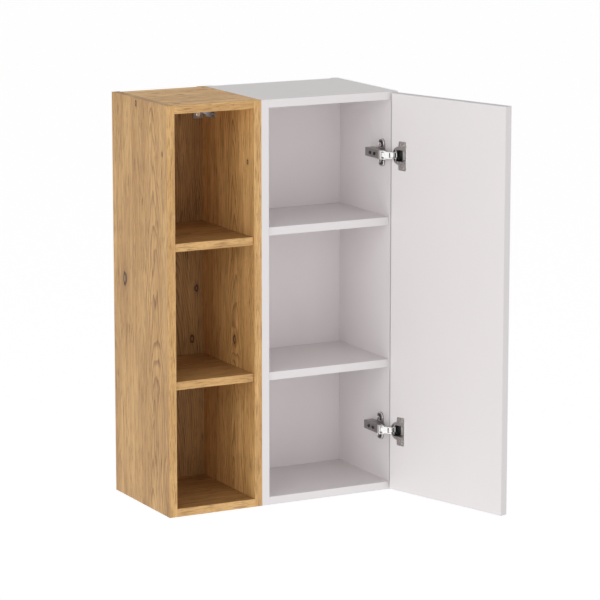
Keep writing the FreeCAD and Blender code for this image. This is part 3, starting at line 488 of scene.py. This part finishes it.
def oak(board):
    """Oak-look surface of one board: patches, ring lines, streaks, fibres, pores and knots,
    then the board's painted light and shade.
    """
    values = bpy.context.scene.cabinet_oak
    net = Net(board.node + "_face")
    places = dict(zip("xyz", net.axes(net.place)))
    run, side = places.pop(board.along), places.pop(board.across)
    through, = places.values()
    moved = net.math("ADD", run, board.shift)
    grain = net.vector(side, moved, net.math("MULTIPLY", through, THROUGH_SHARE))
    swirl = [(knot_distance(net, run, side, spot_run, spot_side), radius)
             for spot_run, spot_side, radius in board.knots]
    line = ring_lines(net, grain, moved, side, board.heart, swirl)
    patch = net.grain(grain, OAK_PATCH)
    line = net.math("MULTIPLY", line, net.steps(patch, *RING_FADE))
    streak = net.grain(grain, OAK_STREAK)
    fibre = net.grain(grain, OAK_FIBRE)
    pore_field = ((1 / values.pore_width, OAK_PORE_ALONG, OAK_PORE_THROUGH), 2.0, 0.5)
    pores = net.steps(net.grain(grain, pore_field), *PORE_CUT)
    cluster = net.steps(net.grain(grain, OAK_CLUSTER), *PORE_CLUSTER)
    pores = net.math("MULTIPLY", pores, net.math("MAXIMUM", cluster, line))
    tone = net.mix(net.steps(patch, *OAK_BLEND), rgb(values.pale), rgb(values.middle))
    tone = net.mix(net.steps(streak, *DARK_STREAK), tone, rgb(values.late))
    tone = net.mix(net.steps(streak, *PALE_STREAK), tone, rgb(values.pale))
    tone = net.mix(net.math("MULTIPLY", line, LINE_TONE), tone, rgb(values.late))
    tone = net.mix(net.steps(fibre, *DARK_FIBRE), tone, rgb(values.late))
    tone = net.mix(net.math("MULTIPLY", pores, PORE_TONE), tone, rgb(values.knot))
    for distance, radius in swirl:
        tone = knot_tone(net, tone, streak, distance, radius)
    # Painted light and shade: the whole board is darkened or lightened, warmer when darker.
    if board.painted_light != 1.0:
        painted_light_tint = (board.painted_light, board.painted_light ** PAINTED_LIGHT_GREEN, board.painted_light ** PAINTED_LIGHT_BLUE, 1)
        tone = net.mix(1.0, tone, painted_light_tint, "MULTIPLY")
    rough = net.math("ADD", net.math("MULTIPLY", pores, PORE_ROUGH),
                     net.steps(fibre, *OAK_ROUGH))
    relief = net.math("SUBTRACT", net.math("MULTIPLY", fibre, FIBRE_HEIGHT),
                      net.math("ADD", pores, net.math("MULTIPLY", line, LINE_DEPTH)))
    return net.finish(Base_Color=tone, Roughness=rough, Normal=net.bump(relief, *OAK_RELIEF))


def oak_bands(name):
    """Oak edge band: the grain runs up the uprights and along everything between them."""
    values = bpy.context.scene.cabinet_oak
    low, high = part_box("oak_top")
    net = Net(name)
    x, y, z = net.axes(net.place)
    between = net.math("MULTIPLY", net.math("GREATER_THAN", x, low[0]),
                       net.math("LESS_THAN", x, high[0]))
    upright = net.vector(x, z, y)
    level = net.vector(z, x, y)
    chosen = net.node("ShaderNodeMix", {0: between, 4: upright, 5: level}, data_type="VECTOR")
    grain = chosen.outputs[1]
    fibre = net.grain(grain, BAND_FIBRE)
    patch = net.grain(grain, BAND_PATCH)
    pores = net.steps(net.grain(grain, BAND_PORES), *BAND_PORE_CUT)
    tone = net.mix(net.steps(patch, *OAK_BLEND), rgb(values.pale), rgb(values.middle))
    tone = net.mix(net.steps(fibre, *BAND_DARK), tone, rgb(values.late))
    tone = net.mix(net.math("MULTIPLY", pores, BAND_PORE_TONE), tone, rgb(values.knot))
    relief = net.math("SUBTRACT", net.math("MULTIPLY", fibre, BAND_FIBRE_HEIGHT), pores)
    return net.finish(Base_Color=tone, Roughness=net.steps(fibre, *BAND_ROUGH),
                      Normal=net.bump(relief, *BAND_RELIEF))


def white_melamine(name, painted_light_tint):
    """Warm white board: a fine stipple, faint cloudiness and slightly uneven gloss, under the
    board's painted light and shade.
    """
    values = bpy.context.scene.cabinet_white
    net = Net(name)
    stipple = net.noise(net.place, 1 / values.grain_size, STIPPLE_DETAIL)
    cloud = net.grain(net.place, WHITE_CLOUD)
    scuff = net.grain(net.place, WHITE_SCUFF)
    # The face tone times the board's painted light and shade.
    face = [channel * share for channel, share in zip(values.face, painted_light_tint)]
    tone = net.mix(net.steps(cloud, *CLOUD_TONE), rgb(face), rgb(values.edge))
    tone = net.mix(net.steps(scuff, *SCUFF_TONE), tone, rgb(values.edge))
    rough = net.math("ADD", net.steps(cloud, *CLOUD_ROUGH), net.steps(scuff, *SCUFF_ROUGH))
    return net.finish(Base_Color=tone, Roughness=rough,
                      Normal=net.bump(stipple, *WHITE_RELIEF))


def plated(name, tone, rough, along="y", nose=None):
    """Plated steel with rolling marks, patches of uneven gloss and darker handled spots.

    nose is a line across Y: the steel in front of it is polished bright.
    """
    values = bpy.context.scene.cabinet_metal
    net = Net(name)
    pitch = 1 / values.brush
    scale = tuple(METAL_RUN if axis == along else pitch for axis in "xyz")
    marks = net.grain(net.place, (scale, MARKS_DETAIL, MARKS_ROUGHNESS))
    patch = net.noise(net.place, *METAL_PATCH)
    dulled = [channel * DULLED for channel in tone]
    shown = net.mix(net.steps(patch, *DULL_TONE), rgb(tone), rgb(dulled))
    gloss = net.math("ADD", net.steps(marks, *MARKS_SPAN, rough * SMOOTHER, rough * ROUGHER),
                     net.steps(patch, *DULL_ROUGH))
    if nose is not None:
        front = net.math("LESS_THAN", net.axes(net.place)[1], nose)
        shown = net.mix(front, shown, rgb(values.polish))
    return net.finish(Base_Color=shown, Metallic=1.0, Roughness=gloss,
                      Normal=net.bump(marks, *METAL_RELIEF))


def painted_cup_shadow(name, line):
    """Inside of the hinge cup: near-black painted shadow behind the pins, grey plate before line
    on Y.
    """
    values = bpy.context.scene.cabinet_metal
    net = Net(name)
    grain = net.noise(net.place, *SHADOW_GRAIN)
    dust = net.noise(net.place, *SHADOW_DUST)
    bare = net.steps(net.axes(net.place)[1], line, line - SHADOW_EDGE)
    tone = net.mix(net.steps(dust, *DUST_TONE), SHADOW_BLACK, SHADOW_DUSTY)
    tone = net.mix(bare, tone, rgb(values.nickel))
    return net.finish(Base_Color=tone, Metallic=bare, Roughness=net.steps(dust, *DUST_ROUGH),
                      Normal=net.bump(grain, *SHADOW_RELIEF))


def beech(name):
    """Beech of the dowels, with short fine rays."""
    net = Net(name)
    rays = net.grain(net.place, BEECH_RAYS)
    tone = net.mix(net.steps(rays, *RAYS_TONE), BEECH_PALE, BEECH_DARK)
    return net.finish(Base_Color=tone, Roughness=BEECH_ROUGH,
                      Normal=net.bump(rays, *BEECH_RELIEF))


def dress(node, material):
    """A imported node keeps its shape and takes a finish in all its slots."""
    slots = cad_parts[node].data.materials
    if not len(slots):
        slots.append(material)
    for number in range(len(slots)):
        slots[number] = material


# ---------------------------------------------------------------- surfaces


def grid_faces(rows, columns, wrap_rows):
    """Quads of a rows by columns grid of points: columns close, and rows when they wrap."""
    row = np.arange(rows if wrap_rows else rows - 1)
    first, second = np.meshgrid(row, np.arange(columns), indexing="ij")
    after, beside = (first + 1) % rows, (second + 1) % columns
    quads = np.stack([first * columns + second, after * columns + second,
                      after * columns + beside, first * columns + beside], axis=-1)
    return quads.reshape(-1, 4)


class Shell:
    """Gathers grids of points into one mesh."""

    def __init__(self):
        self.points, self.faces, self.marks = [], [], []
        self.count = 0

    def grid(self, points, wrap_rows=False, mark=0):
        """Adds a rows x columns x 3 grid whose faces take the finish numbered mark."""
        rows, columns = points.shape[:2]
        quads = grid_faces(rows, columns, wrap_rows) + self.count
        self.points.append(points.reshape(-1, 3))
        self.faces.append(quads)
        self.marks.append(np.full(len(quads), mark))
        self.count += rows * columns

    def piece(self, name, body, slot, materials, move):
        """Makes the object on its body, with its finishes. move carries points into the frame."""
        points = move(np.concatenate(self.points))
        faces = np.concatenate(self.faces)
        marks = np.concatenate(self.marks).astype(np.int32)
        mesh = bpy.data.meshes.new(name)
        mesh.from_pydata(points.tolist(), [], faces.tolist())
        for material in materials:
            mesh.materials.append(material)
        mesh.polygons.foreach_set("material_index", marks)
        mesh.polygons.foreach_set("use_smooth", np.full(len(mesh.polygons), True))
        close_seams(mesh)
        made = bpy.data.objects.new(name, mesh)
        bpy.context.scene.collection.objects.link(made)
        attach(made, body)
        return made


def close_seams(mesh):
    """Merges the doubled points of seams and poles and turns every face outwards."""
    work = bmesh.new()
    work.from_mesh(mesh)
    bmesh.ops.remove_doubles(work, verts=work.verts, dist=MERGE_DISTANCE)
    bmesh.ops.dissolve_degenerate(work, edges=work.edges, dist=SLIVER)
    bmesh.ops.recalc_face_normals(work, faces=work.faces)
    work.to_mesh(mesh)
    work.free()
    mesh.update()


def turned_profile(radii, heights):
    """A profile turned about the third axis: point = (r cos a, r sin a, h)."""
    angle = np.linspace(0, 2 * np.pi, SHADE_RING_SEGMENTS, endpoint=False)
    radius, around = np.meshgrid(radii, angle, indexing="ij")
    height = np.broadcast_to(np.asarray(heights)[:, None], radius.shape)
    return np.stack([radius * np.cos(around), radius * np.sin(around), height], axis=-1)


def rounded_outline(half_x, half_y, corner):
    """Outline of a rectangle with quarter-circle corners, counter-clockwise."""
    sweep = np.linspace(0, np.pi / 2, CORNER_STEPS)
    points = []
    for number, (sign_x, sign_y) in enumerate(((1, 1), (-1, 1), (-1, -1), (1, -1))):
        angle = sweep + number * np.pi / 2
        points.append(np.stack([sign_x * (half_x - corner) + corner * np.cos(angle),
                                sign_y * (half_y - corner) + corner * np.sin(angle)], axis=-1))
    return np.concatenate(points)


# ---------------------------------------------------------------- hinges


def door_frame(level):
    """Carries hinge points (along the door, up, out of its inner face) into the frame."""
    sizes = bpy.context.scene.cabinet_hinge
    low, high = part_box("door_edge_bands")
    turn = sizes.door_turn
    along = np.array([-math.cos(turn), -math.sin(turn), 0])
    outward = np.array([-math.sin(turn), math.cos(turn), 0])
    corner = np.array([low[0], high[1] + sizes.board * math.cos(turn), 0])
    cup_low, cup_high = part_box(level + "_hinge_cup")
    corner[2] = (cup_low[2] + cup_high[2]) / 2
    centre = corner + along * (sizes.cup_tab + sizes.cup_radius)
    up = np.array([0, 0, 1])

    def carry(points):
        return centre + points[:, :1] * along + points[:, 1:2] * up + points[:, 2:] * outward

    return carry


def box_distance(across, up, middle, half_across, half_up, corner):
    """Signed distance of plan points to a rectangle with round corners: below zero inside."""
    out_across = np.abs(across - middle) - half_across + corner
    out_up = np.abs(up) - half_up + corner
    outside = np.hypot(np.maximum(out_across, 0), np.maximum(out_up, 0))
    return outside + np.minimum(np.maximum(out_across, out_up), 0) - corner


def ray_outline(distance, angle, reach):
    """Outline distance = 0 met by rays from the centre, by halving: (r cos a, r sin a)."""
    near, far = np.zeros_like(angle), np.full_like(angle, reach)
    for _ in range(HALVINGS):
        middle = (near + far) / 2
        inside = distance(middle * np.cos(angle), middle * np.sin(angle)) < 0
        near, far = np.where(inside, middle, near), np.where(inside, far, middle)
    return np.stack([near * np.cos(angle), near * np.sin(angle)], axis=-1)


def hinge_cup():
    """Pressed cup in one skin of rings round its centre.

    The rings run from the middle of the floor up the inside, painted with shadow behind the
    pins, to the mouth, over the flange and its ears, down the rim, painted with a highlight, and
    round the outside of the drum. Between two outlines a ring is inner + t (outer - inner).
    """
    sizes = bpy.context.scene.cabinet_hinge
    radius, depth, wall = sizes.cup_radius, sizes.cup_depth, sizes.cup_wall
    flange, soft, bend = sizes.flange, sizes.rim_soft, sizes.floor_bend
    angle = np.linspace(0, 2 * np.pi, CUP_RAYS, endpoint=False)

    def flange_shape(across, up):
        ears = box_distance(across, up, sizes.ear_offset, sizes.ear_width / 2,
                            sizes.ear_height / 2, sizes.ear_corner)
        return np.minimum(np.hypot(across, up) - sizes.lip_radius, ears)

    def mouth_shape(across, up):
        opening = box_distance(across, up, 0.0, radius - wall, sizes.mouth_half,
                               sizes.mouth_corner)
        return np.maximum(opening, np.hypot(across, up) - radius + wall)

    def ring(outline, height):
        return np.concatenate([outline, np.full((len(outline), 1), height)], axis=1)

    outer = ray_outline(flange_shape, angle, sizes.ear_height)
    mouth = ray_outline(mouth_shape, angle, sizes.ear_height)
    unit = np.stack([np.cos(angle), np.sin(angle)], axis=-1)
    drum = unit * radius
    sweep = np.linspace(0, np.pi / 2, BEND_STEPS)
    floor = wall - depth
    # The inside rows carry the painted shadow.
    painted_shadow_inside = [ring(unit * 0.0, floor)]
    painted_shadow_inside += [ring(mouth - unit * bend * (1 - math.sin(a)), floor + bend * (1 - math.cos(a)))
              for a in sweep]
    painted_shadow_inside.append(ring(mouth, -sizes.shadow_drop))
    metal = [ring(mouth, -sizes.shadow_drop)]
    metal += [ring(mouth + unit * soft * (1 - math.cos(a)), flange - soft + soft * math.sin(a))
              for a in sweep]
    metal.append(ring(outer - unit * soft, flange))
    edge = [ring(outer - unit * soft * (1 - math.cos(a)), flange - soft + soft * math.sin(a))
            for a in sweep[::-1]]
    edge += [ring(outer, 0.0), ring(drum, 0.0)]
    edge += [ring(drum - unit * bend * (1 - math.cos(a)), bend * (1 - math.sin(a)) - depth)
             for a in sweep]
    edge.append(ring(unit * 0.0, -depth))
    shell = Shell()
    # Marks: the flange (0), the inside with its painted shadow (1), and the rim and drum (2),
    # whose polished tone is a painted highlight.
    for mark, rings in enumerate((metal, painted_shadow_inside, edge)):
        shell.grid(np.stack(rings), mark=mark)
    return shell


def swept_rim(outline, radius):
    """Round rim along an outline: point = outline + radius (cos b n, sin b), n its normal."""
    ahead, behind = np.roll(outline, -1, axis=0), np.roll(outline, 1, axis=0)
    run = ahead - behind
    run /= np.linalg.norm(run, axis=1, keepdims=True)
    normal = np.stack([run[:, 1], -run[:, 0]], axis=-1)
    around = np.linspace(0, 2 * np.pi, RIM_SEGMENTS, endpoint=False)
    flat = outline[:, None, :] + radius * np.cos(around)[None, :, None] * normal[:, None, :]
    height = np.broadcast_to(radius * np.sin(around), flat.shape[:2])
    return np.concatenate([flat, height[..., None]], axis=-1)


def wing_rims(level):
    """Raised rims round the plate's two wings, and a dark ring round each plate screw that paints
    the shade of its recess.
    """
    sizes = bpy.context.scene.cabinet_hinge
    low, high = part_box(level + "_hinge_plate")
    arm_low, arm_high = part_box(level + "_hinge_arm")
    screw_low, screw_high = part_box(level + "_hinge_plate_screws")
    middle_z, middle_y = (low[2] + high[2]) / 2, (screw_low[1] + screw_high[1]) / 2
    face = high[0] - sizes.plate_thick
    start = (arm_high[2] - arm_low[2]) / 2 + sizes.rim
    end = (high[2] - low[2]) / 2 - sizes.rim
    half_wide, half_high = sizes.wing_wide / 2 - sizes.rim, (end - start) / 2
    shell = Shell()
    for sign in (-1, 1):
        # A dark ring of painted shade round the screw.
        painted_shade_ring = turned_profile(
            [sizes.painted_shade_inner, sizes.painted_shade_inner, sizes.painted_shade_outer, sizes.painted_shade_outer],
            [0.0, sizes.rim * SHADE_RING_WALL, sizes.rim * SHADE_RING_CREST, 0.0])
        painted_shade_ring = painted_shade_ring + np.array([middle_y, middle_z + sign * sizes.screw_pitch / 2, 0])
        shell.grid(painted_shade_ring, wrap_rows=True, mark=1)
        outline = rounded_outline(half_wide, half_high, min(half_wide, half_high) * WING_ROUND)
        outline = outline + np.array([middle_y, middle_z + sign * (start + end) / 2])
        shell.grid(swept_rim(outline, sizes.rim), wrap_rows=True)

    def carry(points):
        return np.stack([face - points[:, 2], points[:, 0], points[:, 1]], axis=-1)

    return shell, carry


# ---------------------------------------------------------------- steps


class CABINET_OT_rims(bpy.types.Operator):
    """Pressed rims of the mounting plates, and dark rings of painted shade round their screws."""
    bl_idname = "cabinet.rims"
    bl_label = "Plate rims"

    def execute(self, context):
        values = context.scene.cabinet_metal
        bright = plated("nickel_rims", values.polish, rough=0.18, along="z")
        # The dark screw tone, here painted shade round the plate screws.
        black = plated("screw_shade_paint", values.dark, rough=0.4, along="z")
        for level in LEVELS:
            shell, move = wing_rims(level)
            shell.piece(level + "_plate_rims", "cabinet", "nickel", (bright, black), move)
        return {"FINISHED"}


class CABINET_OT_cups(bpy.types.Operator):
    """Pressed hinge cups with their ears."""
    bl_idname = "cabinet.cups"
    bl_label = "Hinge cups"

    def execute(self, context):
        values = context.scene.cabinet_metal
        metal = plated("nickel_cup", values.nickel, rough=0.24, along="z")
        # The rim and drum take the polished tone: a painted highlight along the flange's lit
        # edge.
        bright = plated("nickel_rim", values.polish, rough=0.2, along="z")
        sizes = context.scene.cabinet_hinge
        # Where the cup's painted shadow ends on Y.
        end = door_frame("upper")(np.array([[-sizes.shadow_step, 0.0, -sizes.cup_depth]]))[0]
        painted_shadow_inside = painted_cup_shadow("cup_painted_shadow", float(end[1]))
        for level in LEVELS:
            made = hinge_cup().piece(level + "_cup", "door", "nickel", (metal, painted_shadow_inside, bright),
                                     door_frame(level))
            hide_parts(level + "_hinge_cup")
        return {"FINISHED"}


class CABINET_OT_oak(bpy.types.Operator):
    """Finishes the boards of the open column."""
    bl_idname = "cabinet.oak"
    bl_label = "Oak boards"

    def execute(self, context):
        for board in OAK_BOARDS:
            dress(board.node, oak(board))
        dress("oak_front_edges", oak_bands("oak_band"))
        return {"FINISHED"}


class CABINET_OT_white(bpy.types.Operator):
    """Finishes the white boards and the door."""
    bl_idname = "cabinet.white"
    bl_label = "White boards"

    def execute(self, context):
        for name, (painted_light_tint, nodes) in WHITE_BOARDS.items():
            finish = white_melamine(name, painted_light_tint)
            for node in nodes:
                dress(node, finish)
        return {"FINISHED"}


class CABINET_OT_fittings(bpy.types.Operator):
    """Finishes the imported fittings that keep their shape."""
    bl_idname = "cabinet.fittings"
    bl_label = "Fittings"

    def execute(self, context):
        values = context.scene.cabinet_metal
        nickel = plated("nickel", values.nickel, rough=0.22)
        glinting = [min(1, channel * SCREW_GLINT) for channel in values.nickel]
        bright = plated("nickel_screws", glinting, rough=0.18)
        zinc = plated("zinc", values.zinc, rough=0.34, along="z")
        dowel = beech("beech")
        for kind in MODULES:
            for part in ("cams", "cam_bolts", "shelf_pins", "hanger_brackets", "bracket_screws"):
                dress("%s_%s" % (kind, part), zinc)
            dress(kind + "_dowels", dowel)
        dress("module_joining_screws", zinc)
        polish = plated("polished_links", values.polish, rough=0.16, along="z")
        dull = plated("dull_plate", values.plate, rough=0.34, along="z")
        nosed = plated("dull_arm", values.plate, rough=0.34, nose=NOSE_LINE)
        black = plated("black_screws", values.dark, rough=0.38)
        finishes = {
            "plate": dull, "arm": nosed, "inner_link": polish, "outer_link": polish,
            "arm_pins": nickel, "cup_pins": nickel,
            "plate_screws": bright, "arm_screws": black, "cup_screws": bright,
        }
        for level in LEVELS:
            for part, finish in finishes.items():
                dress("%s_hinge_%s" % (level, part), finish)
        return {"FINISHED"}


class CABINET_OT_stage(bpy.types.Operator):
    """Pale floor, soft studio light and the camera."""
    bl_idname = "cabinet.stage"
    bl_label = "Studio"

    def execute(self, context):
        values = context.scene.cabinet_studio
        context.scene.view_settings.view_transform = "Standard"
        self.floor(context, values)
        self.lights(context)
        self.camera(context, values)
        return {"FINISHED"}

    def floor(self, context, values):
        """A wide plane below the cabinet, nearly white, with a faint texture."""
        half, level = FLOOR_HALF, PACKED_BOX[0][2] - values.floor_drop
        corners = [(-half, -half, level), (half, -half, level),
                   (half, half, level), (-half, half, level)]
        mesh = bpy.data.meshes.new("floor")
        mesh.from_pydata(corners, [], [(0, 1, 2, 3)])
        net = Net("floor_paint")
        speck = net.noise(net.place, *FLOOR_SPECK)
        tone = net.mix(net.steps(speck, *SPECK_TONE), FLOOR_PALE, FLOOR_GREY)
        paint = net.finish(Base_Color=tone, Roughness=FLOOR_ROUGH, Emission_Color=WHITE_LIGHT,
                           Emission_Strength=values.floor_glow)
        mesh.materials.append(paint)
        floor = bpy.data.objects.new("floor", mesh)
        context.scene.collection.objects.link(floor)

    def lights(self, context):
        """A white room for the fill, a key from the left and a weaker lamp from the front."""
        world = bpy.data.worlds.new("studio_room")
        context.scene.world = world
        world.use_nodes = True
        background = world.node_tree.nodes["Background"]
        background.inputs["Color"].default_value = WHITE_LIGHT
        background.inputs["Strength"].default_value = ROOM_LIGHT
        for lamp in LAMPS:
            data = bpy.data.lights.new(lamp.name, "AREA")
            data.size, data.energy, data.color = LAMP_SIZE, lamp.power, lamp.tone
            made = bpy.data.objects.new(lamp.name, data)
            made.location = lamp.place
            toward = Vector(LAMP_AIM) - Vector(lamp.place)
            made.rotation_euler = toward.to_track_quat("-Z", "Y").to_euler()
            context.scene.collection.objects.link(made)

    def camera(self, context, values):
        """A long lens on the cabinet, without depth of field."""
        data = bpy.data.cameras.new("camera")
        data.lens, data.sensor_width = values.lens, 36.0
        data.clip_start, data.clip_end = 0.05, 100.0
        data.dof.use_dof = False
        camera = bpy.data.objects.new("camera", data)
        camera.location = values.camera
        camera.rotation_euler = (math.pi / 2 - values.tilt, 0.0, -values.heading)
        context.scene.collection.objects.link(camera)
        context.scene.camera = camera


class CABINET_PT_panel(bpy.types.Panel):
    """Lists the cabinet's steps and values."""
    bl_idname = "CABINET_PT_panel"
    bl_label = "Wall cabinet"
    bl_space_type = "VIEW_3D"
    bl_region_type = "UI"
    bl_category = "Cabinet"

    def draw(self, context):
        for operator in OPERATORS:
            self.layout.operator(operator.bl_idname)
        for key, group in GROUPS.items():
            box = self.layout.box()
            for name in group.__annotations__:
                box.prop(getattr(context.scene, key), name)


OPERATORS = (CABINET_OT_oak, CABINET_OT_white, CABINET_OT_fittings, CABINET_OT_cups,
             CABINET_OT_rims, CABINET_OT_stage)


def register():
    for group in GROUPS.values():
        bpy.utils.register_class(group)
    for key, group in GROUPS.items():
        setattr(bpy.types.Scene, key, PointerProperty(type=group))
    for item in (*OPERATORS, CABINET_PT_panel):
        bpy.utils.register_class(item)


def unregister():
    for item in (CABINET_PT_panel, *reversed(OPERATORS)):
        bpy.utils.unregister_class(item)
    for key, group in GROUPS.items():
        delattr(bpy.types.Scene, key)
        bpy.utils.unregister_class(group)


def main():
    register()
    bpy.ops.cabinet.oak()
    bpy.ops.cabinet.white()
    bpy.ops.cabinet.fittings()
    bpy.ops.cabinet.cups()
    bpy.ops.cabinet.rims()
    bpy.ops.cabinet.stage()


if __name__ == "__main__":
    main()
